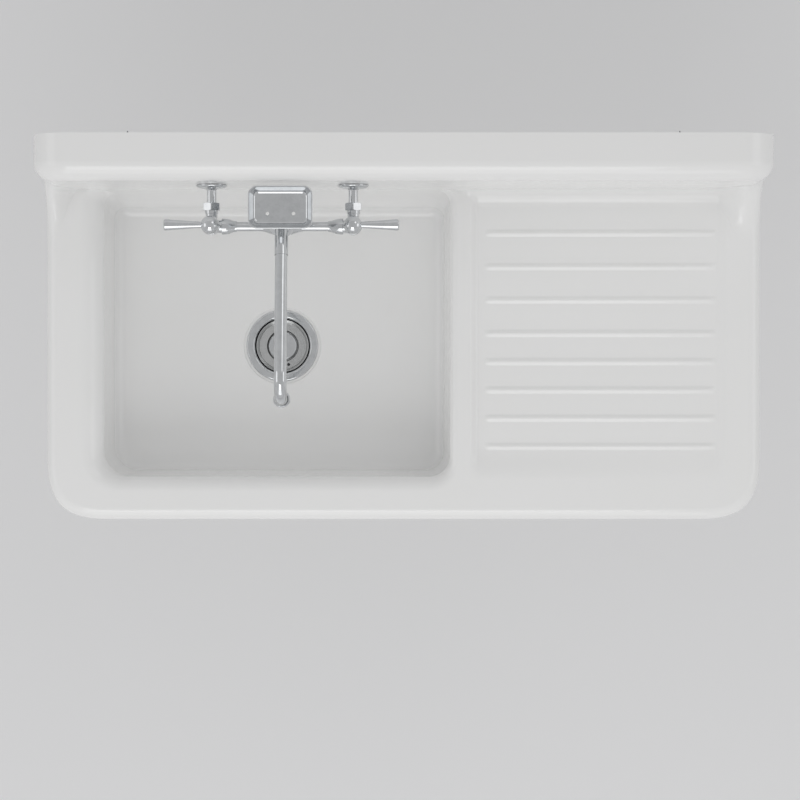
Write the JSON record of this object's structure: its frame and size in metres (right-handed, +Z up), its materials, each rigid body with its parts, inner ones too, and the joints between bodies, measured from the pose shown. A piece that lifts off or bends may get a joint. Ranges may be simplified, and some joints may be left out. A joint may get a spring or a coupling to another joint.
{
  "type": "kitchen sink with drainboard",
  "caption": "Wall-hung enamelled kitchen sink with a deep bowl, ribbed drainboard, high backsplash, bridge tap with swinging spout, lever handles and lift-out basket strainer",
  "frame": {"origin": "on the wall, on the sink's centre line, level with the top of its rim", "axes": "+X to the right along the wall as seen from the front, +Y into the wall, +Z up"},
  "size_m": [1.067, 0.572, 0.5416],
  "materials": {
    "enamel": "glossy white vitreous enamel",
    "chrome": "polished chrome plate",
    "brass": "raw turned brass",
    "steel": "satin stainless steel",
    "zinc": "dull zinc plate on pressed steel",
    "rubber": "matt black rubber",
    "fibre": "red-brown washer fibre",
    "plastic": "off-white moulded plastic"
  },
  "bodies": {
    "sink": {"sink_casting": "enamel", "wall_hanger_left": "zinc", "wall_hanger_right": "zinc", "hanger_screw_1": "zinc", "hanger_screw_2": "zinc", "hanger_screw_3": "zinc", "hanger_screw_4": "zinc", "strainer_body": "chrome", "strainer_gasket": "rubber", "friction_washer": "fibre", "strainer_locknut": "brass", "tailpiece": "chrome", "tailpiece_washer": "rubber", "slip_nut": "chrome", "inlet_shank_left": "chrome", "shank_washer_left": "rubber", "shank_locknut_left": "brass", "wall_flange_left": "chrome", "union_nut_left": "chrome", "valve_body_left": "chrome", "valve_cartridge_left": "plastic", "bonnet_left": "chrome", "inlet_shank_right": "chrome", "shank_washer_right": "rubber", "shank_locknut_right": "brass", "wall_flange_right": "chrome", "union_nut_right": "chrome", "valve_body_right": "chrome", "valve_cartridge_right": "plastic", "bonnet_right": "chrome", "bridge_body": "chrome", "bridge_coupling_right": "chrome", "bridge_coupling_left": "chrome", "hub_ring": "chrome", "dish_post": "chrome", "soap_dish": "chrome"},
    "spout": {"spout_base": "chrome", "spout_tube": "chrome", "spout_ring_lower": "rubber", "spout_ring_upper": "rubber", "aerator_shell": "chrome", "aerator_screen": "plastic"},
    "hot_handle": {"valve_stem_left": "brass", "lever_handle_left": "chrome", "handle_screw_left": "steel"},
    "cold_handle": {"valve_stem_right": "brass", "lever_handle_right": "chrome", "handle_screw_right": "steel"},
    "basket": {"strainer_basket": "steel", "basket_post": "steel", "basket_cap": "chrome", "basket_seal": "rubber"}
  },
  "joints": [
    {"name": "spout_swing", "type": "hinge", "parent": "sink", "child": "spout", "pos_m": [-0.177, -0.128, 0.095], "axis": [0, 0, 1], "range_deg": [-75, 75]},
    {"name": "hot_turn", "type": "hinge", "parent": "sink", "child": "hot_handle", "pos_m": [-0.2805, -0.128, 0.095], "axis": [0, 0, 1], "range_deg": [0, 90]},
    {"name": "cold_turn", "type": "hinge", "parent": "sink", "child": "cold_handle", "pos_m": [-0.0735, -0.128, 0.095], "axis": [0, 0, 1], "range_deg": [-90, 0]},
    {"name": "basket_lift", "type": "slide", "parent": "sink", "child": "basket", "axis": [0, 0, 1], "range_m": [0, 0.09]}
  ]
}
